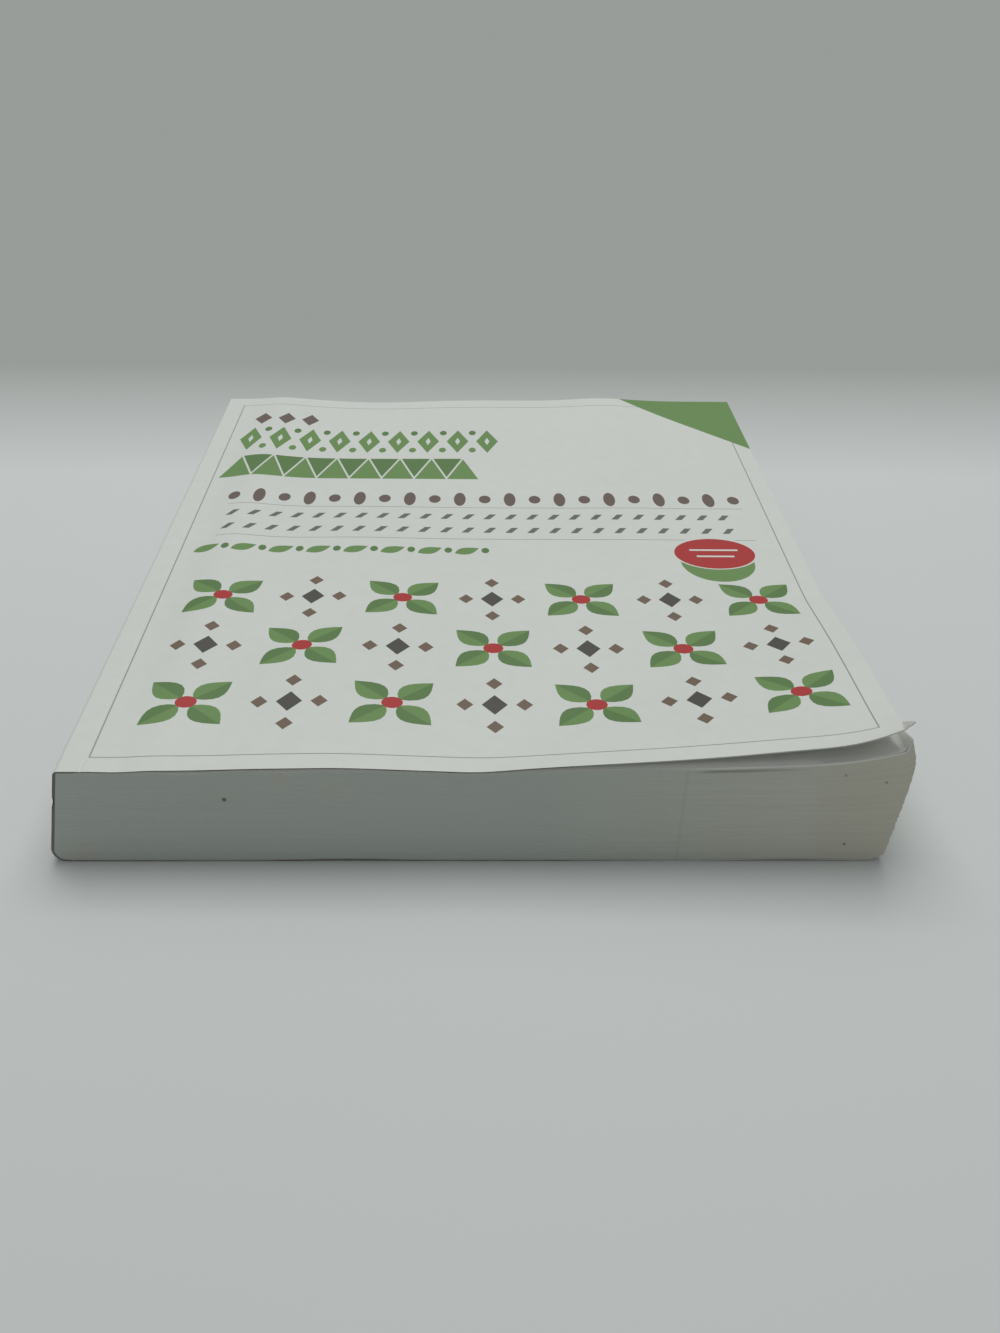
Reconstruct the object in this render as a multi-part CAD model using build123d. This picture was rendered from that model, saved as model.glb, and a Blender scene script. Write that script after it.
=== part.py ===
from build123d import *
from math import exp, sqrt
import os

# A thick paperback, perfect bound: a leaning block of trimmed leaves, a film of binding glue round its
# spine, and a card cover that wraps the spine and is scored beside it, so that both boards can open.
# The front board is wavy and its corner at the tail stands up from the leaves, as on a handled copy.
# Millimetres. X runs from the spine to the fore edge, Y from the tail to the head, Z up from the table.
# The origin is on the underside of the back board, in the middle of the trimmed leaf.

# Leaves and card
leaf_width = 211.0
leaf_height = 279.4
leaf_count = 250
leaf_thickness = 0.1066
card_thickness = 0.3

# Glue behind the leaves, and the strips of it beside the spine that hold the card to the outer leaves
spine_glue = 0.5
side_glue = 0.2
side_glue_width = 5.0

# Score lines, where the card folds as the boards open
hinge_width = 6.5
score_gap = 0.4
fold_axis_offset = 0.35

# Set of the whole book: for each millimetre up, the leaves lie this far towards the fore edge
lean = 0.162

# Rounded long edges of the closed book: two at the spine, and the outermost one at the fore edge. The
# trim cuts the turned-up edge at this share of its radius, and a ledge over it clears the round
worn_spine_foot = 3.6
spine_shoulder = 1.2
turned_up_edge = 3.2
turned_up_share = 0.62
ledge_share = 1.05

# Fore edge, worked out of line at the tail, where its upper part is also curled back
tail_swell = 1.7
swell_length = 96.0
curled_from = 22.0
curled_back = 1.6

# Waves across the front board: distance of the crest from the score, half width of the wave, and the
# height of the crest at the tail, half way up and at the head
hinge_wave = (14.0, 14.0, 0.2, 1.7, 0.9)
middle_wave = (56.0, 25.0, 1.35, 0.6, -1.25)
outer_wave = (151.0, 16.0, 0.0, 0.1, 1.25)
wave_start = 18.0

# Lifted corner of the front board at the tail: how far it reaches and how high it stands
lift_along_tail = 107.0
lift_along_fore_edge = 96.0
ramp_lift = 8.4
curl_lift = 4.2
curl_power = 8
edge_bulge = 1.7
bulge_power = 6
fold_softness = 0.06
corner_draw_x = 2.3
corner_draw_y = 1.5

# The leaves under the lifted corner follow a part of the way. Their own corner rises from one distance
# and curls up from a shorter one, both measured along the two edges
leaf_lift_share = 0.38
leaf_rise, leaf_rise_reach = 2.4, 25.0
leaf_curl, leaf_curl_reach = 3.6, 8.0

# Points that the wavy faces pass through, and spare material that the trimming removes
face_steps = 60
face_tolerance = 0.03
face_margin = 3.0
trim_spare = 12.0
past_corner = 1.5

block_thickness = leaf_count * leaf_thickness
board_top = block_thickness + 2 * (card_thickness + side_glue)
spine_depth = card_thickness + spine_glue
half_width = leaf_width / 2
half_height = leaf_height / 2
tail, head = -half_height, half_height
ceiling = board_top + ramp_lift + curl_lift + trim_spare
turned_up_start = half_width + tail_swell - turned_up_share * turned_up_edge


def fore_edge_x(z):
    """X of the straight fore edge at height z."""
    return half_width + lean * z


def spine_x(z, inset=0.0):
    """X of a line parallel to the spine at height z, inset from the outside of the card."""
    return lean * z - half_width - spine_depth + inset


front_score = spine_x(board_top, hinge_width)
back_score = spine_x(0.0, hinge_width)
board_width = fore_edge_x(board_top) - front_score - score_gap

# Each board folds about a line along Y, over the middle of its score and a little outside the card
front_fold_line = (front_score + score_gap / 2, board_top + fold_axis_offset)
back_fold_line = (back_score + score_gap / 2, -fold_axis_offset)


def book_length(section):
    """A solid of this section, drawn in X and Z, that runs from the tail to the head."""
    return extrude(Plane.XZ * section, amount=half_height, both=True)


def flank(inset, high):
    """The corners of an outline on its fore side: its turned-up foot, then out beyond the trim and up."""
    foot_x = turned_up_start + turned_up_edge - inset
    ledge = ledge_share * turned_up_edge
    far = tail_swell + trim_spare
    return [
        (foot_x, inset),
        (foot_x, ledge),
        (fore_edge_x(ledge) + far, ledge),
        (fore_edge_x(high) + far, high),
    ]


def closed_book(inset, spine_inset):
    """The closed book with flat boards, taken in by inset at its faces and by spine_inset at its spine."""
    low, high = inset, board_top - inset
    outline = FilletPolyline(
        (spine_x(low, spine_inset), low),
        *flank(inset, high),
        (spine_x(high, spine_inset), high),
        radius=[worn_spine_foot - spine_inset, turned_up_edge - inset, 0, 0, 0, spine_shoulder - spine_inset],
        close=True,
    )
    return book_length(make_face(outline))


def uncut_leaves():
    """The glued leaves before they are trimmed: flush with the hinge, and with headroom beyond it."""
    inset = card_thickness + side_glue
    low, high = inset, board_top - inset
    foot, shoulder = worn_spine_foot - spine_depth, spine_shoulder - spine_depth
    outline = FilletPolyline(
        (spine_x(low, spine_depth), low),
        *flank(inset, ceiling),
        (front_score, ceiling),
        (front_score, high),
        (spine_x(high, spine_depth), high),
        radius=[foot, turned_up_edge - inset, 0, 0, 0, 0, 0, shoulder],
        close=True,
    )
    return book_length(make_face(outline))


def beside_spine(start, end):
    """Everything between two lines parallel to the spine, at these distances from its outside."""
    low, high = -trim_spare, ceiling
    corners = [
        (spine_x(low, start), low),
        (spine_x(low, end), low),
        (spine_x(high, end), high),
        (spine_x(high, start), high),
    ]
    return book_length(make_face(Polyline(*corners, close=True)))


def along(y, at_tail, at_middle, at_head):
    """A height that passes smoothly through three values, from the tail to the head."""
    t = (y - tail) / leaf_height
    return at_tail * (1 - t) * (1 - 2 * t) + at_middle * 4 * t * (1 - t) + at_head * t * (2 * t - 1)


def waves(u, y):
    """Height of the waves at u from the score. They start level, because the hinge is glued down."""
    t = min(max(u / wave_start, 0.0), 1.0)
    fade = t * t * (3 - 2 * t)
    height = 0.0
    for crest, half_wave, *heights in (hinge_wave, middle_wave, outer_wave):
        height += along(y, *heights) * exp(-(((u - crest) / half_wave) ** 2))
    return fade * height


def corner_lift(u, y):
    """Height of the lifted corner over the flat board, which folds along a slanting line."""
    s = 1 - (board_width - u) / lift_along_tail
    t = (y - tail) / lift_along_fore_edge
    d = s - t
    d = (d + sqrt(d * d + fold_softness * fold_softness)) / 2
    bulge = edge_bulge * max(s, 0.0) ** bulge_power * 4 * max(t, 0.0) * max(1 - t, 0.0)
    return ramp_lift * d + curl_lift * d**curl_power + bulge


def board_point(u, y):
    """A point on the underside of the front board. The lifted corner is drawn in as it rises."""
    lift = corner_lift(u, y)
    drawn = (lift / (ramp_lift + curl_lift)) ** 2
    x = front_score + score_gap + u - corner_draw_x * drawn
    return (x, y + corner_draw_y * drawn, board_top - card_thickness + waves(u, y) + lift)


def bent_up(height, reach, from_corner):
    """Height of a bend that starts level at its reach from the corner and goes on a little past it."""
    return height * min(max(1 - from_corner / reach, 0.0), past_corner) ** 2


def leaf_point(u, y):
    """A point on the topmost leaf, which lies under the front board and lifts less than it."""
    from_corner = board_width - u + y - tail
    rise = bent_up(leaf_rise, leaf_rise_reach, from_corner)
    curl = bent_up(leaf_curl, leaf_curl_reach, from_corner)
    level = board_top - card_thickness - side_glue
    z = level + waves(u, y) + leaf_lift_share * corner_lift(u, y) + rise + curl
    return (front_score + score_gap + u, y, z)


def spread(start, end):
    """Evenly spaced values from start to end."""
    return [start + (end - start) * i / face_steps for i in range(face_steps + 1)]


def wavy_face(point, start, margin):
    """A smooth face through the points that a function gives, from the score to past the other edges."""
    rows = spread(tail - margin, head + margin)
    grid = [[point(u, y) for y in rows] for u in spread(start, board_width + margin)]
    return Face.make_surface_from_array_of_points(grid, tol=face_tolerance, min_deg=3, max_deg=3)


def fore_edge_waste():
    """What the trim takes off at the fore edge, out to beyond the uncut leaves."""
    sections = []
    curl_top = board_top + leaf_rise + leaf_curl + ramp_lift * leaf_lift_share
    for y in (tail - trim_spare, tail + swell_length, head + trim_spare):
        worn = max(1 - (y - tail) / swell_length, 0.0)

        def on_cut(z):
            return Vector(fore_edge_x(z) + tail_swell * worn, z)

        straight = Line(on_cut(-trim_spare), on_cut(curled_from))
        third = (curl_top - curled_from) / 3
        tip = Vector(fore_edge_x(curl_top) - curled_back * worn, curl_top)
        curl = Bezier(straight @ 1, on_cut(curled_from + third), on_cut(curl_top - third), tip)
        far = fore_edge_x(ceiling) + 2 * trim_spare
        rest = Polyline(tip, (tip.X, ceiling), (far, ceiling), (far, -trim_spare), straight @ 0)
        sections.append(Plane.XZ.offset(-y) * make_face(straight + curl + rest))
    return loft(sections, ruled=True)


def front_board():
    """The front board beyond its score, one wavy sheet of card."""
    return Solid.extrude(wavy_face(board_point, 0.0, 0.0), Vector(0, 0, card_thickness))


def back_board(trim):
    """The back board beyond its score. It lies flat, and its fore edge turns up with the leaves."""
    wrap = closed_book(0.0, 0.0) - closed_book(card_thickness, card_thickness)
    below = Plane.XY.offset(board_top / 2)
    card = split(wrap, bisect_by=below, keep=Keep.BOTTOM)
    return (card & beside_spine(hinge_width + score_gap, 2 * leaf_width)) - trim


def cover_spine():
    """The middle of the cover: the spine wall with the hinge strips that are glued to the outer leaves."""
    wrap = closed_book(0.0, 0.0) - closed_book(card_thickness, card_thickness)
    return wrap & beside_spine(-trim_spare, hinge_width)


def binding_glue():
    """Hot-melt glue behind the leaves and, thinner, in a strip beside the spine on both outer leaves."""
    film = closed_book(card_thickness, card_thickness) - closed_book(card_thickness + side_glue, spine_depth)
    return film & beside_spine(-trim_spare, card_thickness + side_glue_width)


def page_block(trim):
    """All the leaves as one solid, trimmed at the fore edge and to the shape of the topmost leaf."""
    topmost = wavy_face(leaf_point, -score_gap, face_margin)
    above = Solid.extrude(topmost, Vector(0, 0, ceiling))
    return uncut_leaves() - trim - above


def only_solid(shape):
    """The one solid that a sub-part is made of."""
    solids = shape.solids()
    assert len(solids) == 1, f"{len(solids)} solids"
    return solids[0]


trim = fore_edge_waste()
pieces = {
    "page_block": page_block(trim),
    "binding_glue": binding_glue(),
    "cover_spine": cover_spine(),
    "front_board": front_board(),
    "back_board": back_board(trim),
}
os.makedirs("parts", exist_ok=True)
for name, piece in pieces.items():
    export_step(only_solid(piece), f"parts/{name}.step")
for board, (x, z) in {"front": front_fold_line, "back": back_fold_line}.items():
    print(f"the {board} board folds about x {x:.4f}, z {z:.4f}")
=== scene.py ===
# %% [markdown]
# # A handled paperback
# A thick paperback lies flat on a pale table. Its leaves are a leaning block, its card cover is wavy, and
# one corner of the front board stands up from the leaves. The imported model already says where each
# piece is and how the two boards open, so this lesson only dresses it: every surface that shows is
# rebuilt as a finer mesh in the same place, and gets a finish made from nodes.

# %% Load the frame
from math import atan, cos, hypot, pi, sin, tan

import bpy
import numpy as np
from mathutils import Matrix, Vector
from mathutils.geometry import delaunay_2d_cdt


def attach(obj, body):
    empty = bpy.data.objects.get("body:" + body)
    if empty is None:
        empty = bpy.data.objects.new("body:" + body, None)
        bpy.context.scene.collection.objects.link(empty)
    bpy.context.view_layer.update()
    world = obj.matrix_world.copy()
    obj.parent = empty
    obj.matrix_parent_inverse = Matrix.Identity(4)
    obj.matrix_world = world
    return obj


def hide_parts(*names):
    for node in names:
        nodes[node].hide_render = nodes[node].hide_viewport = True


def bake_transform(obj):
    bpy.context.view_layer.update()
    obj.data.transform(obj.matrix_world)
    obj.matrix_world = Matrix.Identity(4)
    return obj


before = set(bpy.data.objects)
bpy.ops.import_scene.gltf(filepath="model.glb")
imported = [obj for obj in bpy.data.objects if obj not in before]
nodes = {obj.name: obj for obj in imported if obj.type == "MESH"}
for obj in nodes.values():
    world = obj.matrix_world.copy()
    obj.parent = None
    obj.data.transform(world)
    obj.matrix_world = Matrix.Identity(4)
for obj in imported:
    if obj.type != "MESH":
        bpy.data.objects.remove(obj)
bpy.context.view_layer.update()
print("nodes:", ", ".join(sorted(nodes)))

# %% [markdown]
# ## The camera
# The photograph was taken with a phone held close and tipped well down, so the far end of the book is
# much narrower than the near one. A camera could be aimed with a constraint, but its roll matters here.
# It is turned by three plain angles instead: yaw, pitch and roll, in that order.

# %% Set the camera
camera_place = Vector((0.00114, -0.41583, 0.21697))
pitch_down, yaw, roll = 0.52283, 0.02401, 0.01437
forward = Vector((sin(yaw) * cos(pitch_down), cos(yaw) * cos(pitch_down), -sin(pitch_down)))
level_right = Vector((cos(yaw), -sin(yaw), 0))
level_up = level_right.cross(forward)
right = level_right * cos(roll) + level_up * sin(roll)
up = level_up * cos(roll) - level_right * sin(roll)

camera_data = bpy.data.cameras.new("camera")
camera_data.sensor_width = 36
camera_data.lens = 36.48
camera_data.clip_start = 0.01
camera = bpy.data.objects.new("camera", camera_data)
turned = Matrix((right, up, -forward)).transposed().to_4x4()
camera.matrix_world = Matrix.Translation(camera_place) @ turned
bpy.context.scene.collection.objects.link(camera)
bpy.context.scene.camera = camera
print("camera tipped down by", round(pitch_down * 180 / pi, 1), "degrees")

# %% [markdown]
# ## A small kit for making meshes and finishes
# Most pieces here are worked out with formulas, as lists of points and faces. One helper turns such
# lists into an object, scales them from millimetres to metres, and gives each face its material. A
# second set of helpers writes node trees in few lines, so that each finish below reads as a recipe.

# %% Helpers for meshes
MM = 0.001


def make_mesh(name, points, faces, materials, which=None, smooth=True, normals=None):
    """An object from points in millimetres. which numbers each face's material; normals go by corner."""
    mesh = bpy.data.meshes.new(name)
    mesh.from_pydata([tuple(p) for p in np.asarray(points) * MM], [], [tuple(map(int, f)) for f in faces])
    for material in materials:
        mesh.materials.append(material)
    if which is not None:
        mesh.polygons.foreach_set("material_index", np.asarray(which, np.int32))
    flags = np.broadcast_to(np.asarray(smooth, bool), len(mesh.polygons))
    mesh.polygons.foreach_set("use_smooth", flags.copy())
    if normals is not None:
        mesh.normals_split_custom_set([tuple(n) for n in normals])
    mesh.update()
    piece = bpy.data.objects.new(name, mesh)
    bpy.context.scene.collection.objects.link(piece)
    print(name, "has", len(mesh.vertices), "points and", len(mesh.polygons), "faces")
    return piece


def smooth_step(t):
    t = np.clip(t, 0, 1)
    return t * t * (3 - 2 * t)


def bump(x, middle, half):
    return np.exp(-(((x - middle) / half) ** 2))


print("a quarter of the way up, a smooth step is at", smooth_step(0.25))


# %% Helpers for finishes
def srgb(red, green, blue):
    """A colour given as in a paint program, 0 to 255, as the linear colour that the shader takes."""
    levels = [c / 255 for c in (red, green, blue)]
    return tuple(c / 12.92 if c <= 0.04045 else ((c + 0.055) / 1.055) ** 2.4 for c in levels) + (1,)


class Finish:
    """One material, with short calls that add a node and give back its output."""

    def __init__(self, name, colour, roughness):
        self.material = bpy.data.materials.new(name)
        self.material.use_nodes = True
        self.tree = self.material.node_tree
        self.shader = self.tree.nodes["Principled BSDF"]
        self.shader.inputs["Base Color"].default_value = colour
        self.shader.inputs["Roughness"].default_value = roughness
        self.place = self.add("ShaderNodeTexCoord").outputs["Object"]

    def add(self, kind, inputs=(), **settings):
        node = self.tree.nodes.new(kind)
        for name, value in settings.items():
            setattr(node, name, value)
        for key, value in dict(inputs).items():
            if isinstance(value, bpy.types.NodeSocket):
                self.tree.links.new(value, node.inputs[key])
            else:
                node.inputs[key].default_value = value
        return node

    def math(self, operation, first, second=0.0):
        return self.add("ShaderNodeMath", {0: first, 1: second}, operation=operation).outputs[0]

    def stretched(self, x, y, z):
        """The place on the object, with each axis scaled."""
        inputs = {0: self.place, 1: (x, y, z)}
        return self.add("ShaderNodeVectorMath", inputs, operation="MULTIPLY").outputs[0]

    def noise(self, scale, detail=2.0, where=None, rough=0.5):
        inputs = {"Vector": where or self.place, "Scale": scale, "Detail": detail, "Roughness": rough}
        return self.add("ShaderNodeTexNoise", inputs).outputs["Fac"]

    def ramp(self, value, low, high, from_low=0.0, from_high=1.0):
        """value, mapped from one range to another and held inside it."""
        inputs = {"Value": value, "From Min": from_low, "From Max": from_high, "To Min": low, "To Max": high}
        return self.add("ShaderNodeMapRange", inputs).outputs["Result"]

    def mix(self, share, first, second):
        inputs = {"Factor": share, 6: first, 7: second}
        return self.add("ShaderNodeMix", inputs, data_type="RGBA", clamp_factor=True).outputs[2]

    def spot(self, colour, paint, middle, radius, strength=1.0):
        """A round soft spot of paint over colour, with its middle at a place in millimetres."""
        inputs = {0: self.place, 1: [MM * c for c in middle]}
        gap = self.add("ShaderNodeVectorMath", inputs, operation="DISTANCE").outputs["Value"]
        share = self.ramp(gap, strength, 0.0, 0.5 * radius * MM, radius * MM)
        return self.mix(share, colour, paint)

    def wear(self, socket, value):
        self.tree.links.new(value, self.shader.inputs[socket])

    def bump(self, height, distance, strength=1.0):
        inputs = {"Height": height, "Distance": distance, "Strength": strength}
        self.wear("Normal", self.add("ShaderNodeBump", inputs).outputs["Normal"])


print("a middle grey, as the shader takes it:", [round(c, 3) for c in srgb(128, 128, 128)])

# %% [markdown]
# ## Table and light
# The book was photographed in a white box: a pale sheet runs from the table up behind it, and the light
# comes from above. A real wall would hide the book from behind, so the sheet stays flat here. Its
# finish turns, just behind the book and again far away, into an even grey glow like the wall's, and
# the world shows the same grey above it. The light is a large soft lamp overhead with a little fill
# from all round, which leaves the near face of the leaves in soft shade.

# %% Build the table
wall_glow = (0.315, 0.335, 0.320, 1)
table_sheet = Finish("pale_table", srgb(199, 203, 201), 0.75)
blotch = table_sheet.noise(3.0)
table_sheet.wear("Base Color", table_sheet.mix(blotch, srgb(197, 201, 199), srgb(201, 205, 203)))
table_place = table_sheet.add("ShaderNodeSeparateXYZ", {0: table_sheet.place}).outputs
behind = table_sheet.ramp(table_place[1], 0, 1, 0.125, 0.275)
flat_place = table_sheet.stretched(1, 1, 0)
distance = table_sheet.add("ShaderNodeVectorMath", {0: flat_place}, operation="LENGTH").outputs["Value"]
far_off = table_sheet.ramp(distance, 0, 1, 0.6, 1.6)
share = table_sheet.math("MAXIMUM", behind, far_off)
glow = table_sheet.add("ShaderNodeEmission", {"Color": wall_glow, "Strength": 1.0})
sheet_and_glow = {0: share, 1: table_sheet.shader.outputs[0], 2: glow.outputs[0]}
both = table_sheet.add("ShaderNodeMixShader", sheet_and_glow)
output = table_sheet.tree.nodes["Material Output"]
table_sheet.tree.links.new(both.outputs[0], output.inputs["Surface"])

half_table = 6000
table_points = [(x, y, 0) for y in (-half_table, half_table) for x in (-half_table, half_table)]
table = make_mesh("table", table_points, [(0, 1, 3, 2)], [table_sheet.material])


# %% Light it
def add_lamp(name, place, aim, size, watts):
    lamp = bpy.data.lights.new(name, "AREA")
    lamp.shape = "RECTANGLE"
    lamp.size, lamp.size_y = size
    lamp.energy = watts
    holder = bpy.data.objects.new(name, lamp)
    holder.location = place
    holder.rotation_mode = "QUATERNION"
    holder.rotation_quaternion = (Vector(aim) - Vector(place)).to_track_quat("-Z", "Y")
    bpy.context.scene.collection.objects.link(holder)


add_lamp("lamp_overhead", (0.0, 0.28, 1.2), (0.0, 0.08, 0.0), (1.1, 0.9), 10.0)
add_lamp("lamp_behind", (0.0, 0.75, 0.95), (0.0, 0.0, 0.0), (1.2, 0.6), 1.4)
world = bpy.data.worlds.new("soft_fill")
world.use_nodes = True
world_nodes, world_links = world.node_tree.nodes, world.node_tree.links
fill = world_nodes["Background"]
fill.inputs["Color"].default_value = (0.95, 0.98, 1.0, 1)
fill.inputs["Strength"].default_value = 0.31
seen = world_nodes.new("ShaderNodeBackground")
seen.inputs["Color"].default_value = wall_glow
ray, pick = world_nodes.new("ShaderNodeLightPath"), world_nodes.new("ShaderNodeMixShader")
world_links.new(ray.outputs["Is Camera Ray"], pick.inputs[0])
world_links.new(fill.outputs[0], pick.inputs[1])
world_links.new(seen.outputs[0], pick.inputs[2])
world_links.new(pick.outputs[0], world_nodes["World Output"].inputs["Surface"])
bpy.context.scene.world = world
bpy.context.scene.view_settings.view_transform = "Standard"
print("lamps:", ", ".join(lamp.name for lamp in bpy.data.lights))

# %% [markdown]
# ## The shape of the book
# The solids were made from a few sizes and formulas. They are written here again, because the finer
# meshes have to lie where the solids do: the block leans towards its fore edge, the front board has
# long waves, and its corner at the tail lifts along a slanting line and curls at the tip. Only the
# draw of that corner towards the head is a little less here than in the solids. Each wave has its
# distance from the score, its half width, and its height at the tail, half way up and at the head.

# %% Sizes in millimetres
leaf_width, leaf_height = 211.0, 279.4
leaf_count, leaf_thickness = 250, 0.1066
card_thickness, side_glue, spine_glue = 0.3, 0.2, 0.5
hinge_width, score_gap = 6.5, 0.4
lean = 0.162
worn_spine_foot, spine_shoulder, turned_up_edge = 3.6, 1.2, 3.2
turned_up_share = 0.62
tail_swell, swell_length = 1.7, 96.0
board_waves = ((14.0, 14.0, 0.2, 1.7, 0.9), (56.0, 25.0, 1.35, 0.6, -1.25), (151.0, 16.0, 0.0, 0.1, 1.25))
wave_start = 18.0
score_dip, score_dip_half = 0.1, 0.35
lift_along_tail, lift_along_fore_edge = 107.0, 96.0
ramp_lift, curl_lift, curl_power = 8.4, 4.2, 8
edge_bulge, bulge_power, fold_softness = 1.7, 6, 0.06
corner_draw_x, corner_draw_y = 2.3, 0.8
leaf_lift_share, leaf_rise, leaf_rise_reach = 0.38, 2.4, 25.0

board_top = leaf_count * leaf_thickness + 2 * (card_thickness + side_glue)
spine_depth = card_thickness + spine_glue
half_width = leaf_width / 2
tail, head = -leaf_height / 2, leaf_height / 2
turned_up_start = half_width + tail_swell - turned_up_share * turned_up_edge
leaf_top = board_top - card_thickness - side_glue
leaf_bottom = card_thickness + side_glue
print("book is", round(board_top, 2), "mm thick where it lies flat")


# %% Formulas of the block and the front board
def fore_edge_x(z):
    return half_width + lean * z


def spine_x(z, inset=0.0):
    return lean * z - half_width - spine_depth + inset


board_start = spine_x(board_top, hinge_width) + score_gap
board_width = fore_edge_x(board_top) - board_start


def along(y, at_tail, at_middle, at_head):
    t = (y - tail) / leaf_height
    return at_tail * (1 - t) * (1 - 2 * t) + at_middle * 4 * t * (1 - t) + at_head * t * (2 * t - 1)


def wave_height(u, y):
    heights = sum(along(y, *at) * bump(u, crest, half) for crest, half, *at in board_waves)
    return smooth_step(u / wave_start) * heights


def corner_lift(u, y):
    s = 1 - (board_width - u) / lift_along_tail
    t = (y - tail) / lift_along_fore_edge
    d = s - t
    d = (d + np.sqrt(d * d + fold_softness**2)) / 2
    bulge = edge_bulge * np.maximum(s, 0) ** bulge_power * 4 * np.maximum(t, 0) * np.maximum(1 - t, 0)
    return smooth_step(u / wave_start) * (ramp_lift * d + curl_lift * d**curl_power + bulge)


print("corner of the board lifts by", round(float(corner_lift(board_width, tail)), 1), "mm")

# %% [markdown]
# Long waves alone would leave the near edge too smooth. The card sags a little between them, and the
# topmost leaf sags with it or, in two places, hangs lower and leaves a thin dark gap. Each sag is a bump
# that fades away from the tail, so that nothing else of the shape has to change.

# %% Sags along the near edge
edge_sags = ((-86.0, 5.0, 0.25), (-43.0, 11.0, 0.25), (3.0, 9.0, 0.36), (55.0, 24.0, 0.34), (96.0, 11.0, 0.6))
edge_sag_reach = 14.0
leaf_gaps, leaf_gap_reach = ((-69.7, 7.0, 0.9), (-44.0, 8.0, 0.9)), 9.0
leaf_follows_to, leaf_follows_over = 45.0, 25.0
crease_x, corner_legs = 107.3, (4.2, 34.0)


def hollows(x, y, places, reach):
    """Depth of hollows that are deepest at the tail. Each has a middle, a half width and a depth."""
    return sum(deep * bump(x, middle, half) for middle, half, deep in places) * np.exp(-(y - tail) / reach)


def edge_sag(x, y):
    """How much lower than its long waves the near edge of the cover lies, from place to place."""
    return hollows(x, y, edge_sags, edge_sag_reach)


def top_leaf_rise(x, y):
    """How far the topmost leaf stands above a flat block at a place, before its corner is turned up."""
    u = np.minimum(x, crease_x) - board_start
    near = np.clip(1 - (board_width - u + y - tail) / leaf_rise_reach, 0, 1)
    gap = hollows(x, y, leaf_gaps, leaf_gap_reach)
    gap = gap + edge_sag(x, y) * smooth_step((leaf_follows_to - x) / leaf_follows_over)
    return wave_height(u, y) + leaf_lift_share * corner_lift(u, y) + leaf_rise * near**2 - gap


print("topmost leaf rises by", round(float(top_leaf_rise(crease_x, tail)), 1), "mm before it turns up")

# %% [markdown]
# ## The card cover
# On the real book the cover is one sheet of card: printed, covered with a thin gloss film, folded round
# the spine and scored beside it. Here the sheet is laid out flat first. One coordinate, u, runs across
# it from the score, with the spine at its negative end, and a function folds each flat point into
# place. The print can then be drawn on the flat sheet, as the printer does it.

# %% Fold the flat sheet round the spine
wall_tilt = atan(lean)
shoulder_turn = pi / 2 - wall_tilt
shoulder_reach = spine_shoulder * tan(shoulder_turn / 2)
shoulder_x = spine_x(board_top) + shoulder_reach
foot_turn = pi / 2 + wall_tilt
foot_reach = worn_spine_foot * tan(foot_turn / 2)
foot_x = spine_x(0.0) + foot_reach
wall_run = board_top / cos(wall_tilt) - shoulder_reach - foot_reach
hinge_run = board_start - shoulder_x
shoulder_run = spine_shoulder * shoulder_turn
foot_run = worn_spine_foot * foot_turn
sheet_start = -(hinge_run + shoulder_run + wall_run + foot_run)
print("unfolded front and spine:", round(board_width - sheet_start, 1), "mm wide")

# Two long dents in the spine and a nick at its end: run from the shoulder, Y, both half sizes and depth
dents = ((8.0, -60.0, 3.0, 26.0, 0.28), (15.0, 40.0, 4.5, 40.0, 0.22), (9.4, tail, 0.7, 1.6, 0.4))


def spine_section(run):
    """X, Z and the outward direction on the spine's outside, at a run past the end of the hinge."""
    past_shoulder, past_wall = run - shoulder_run, run - shoulder_run - wall_run
    turn = np.clip(run / spine_shoulder, 0, shoulder_turn)
    turn = turn + np.clip(past_wall / worn_spine_foot, 0, foot_turn)
    down = np.clip(past_shoulder, 0, wall_run)
    on_foot = past_wall > 0
    radius = np.where(on_foot, worn_spine_foot, spine_shoulder)
    x = np.where(on_foot, foot_x, shoulder_x) - radius * np.sin(turn)
    z = np.where(on_foot, worn_spine_foot, board_top - spine_shoulder) + radius * np.cos(turn)
    x = x - np.where(on_foot, 0, down * sin(wall_tilt))
    z = z - np.where(on_foot, 0, down * cos(wall_tilt))
    return x, z, turn


def fold_sheet(u, y):
    """Where a point of the flat sheet is on the outside of the folded cover."""
    lift = corner_lift(u, y)
    drawn = (lift / (ramp_lift + curl_lift)) ** 2
    x = board_start + u - corner_draw_x * drawn
    z = board_top + wave_height(u, y) + lift - score_dip * bump(u, -0.5 * score_gap, score_dip_half)
    run = -hinge_run - u
    spine_at_x, spine_at_z, turn = spine_section(np.maximum(run, 0))
    pressed = sum(deep * bump(run, a, across) * bump(y, b, length) for a, b, across, length, deep in dents)
    spine_at_x = spine_at_x + pressed * np.sin(turn)
    spine_at_z = spine_at_z - pressed * np.cos(turn)
    on_spine = run > 0
    points = (np.where(on_spine, spine_at_x, x), y + corner_draw_y * drawn, np.where(on_spine, spine_at_z, z))
    return np.stack(points, axis=-1)

# %% [markdown]
# The very tip of the lifted corner is crushed: a crease runs across it, close to the fore edge, and the
# little tab beyond the crease is pulled outwards and pleated. Card that has been crushed doesn't keep
# its lengths, so the tab isn't folded exactly: its point is simply drawn out and up, and everything
# between the point and the crease follows.

# %% Crush the tip of the corner
tip_legs = (1.1, 7.5)
tip_pull = np.array((2.0, 0.9, 1.3))
valley_depth, valley_share = 0.3, 0.4
pleat_height, pleat_closeness = 0.22, 6.5
sag_starts_over = 6.0


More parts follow.
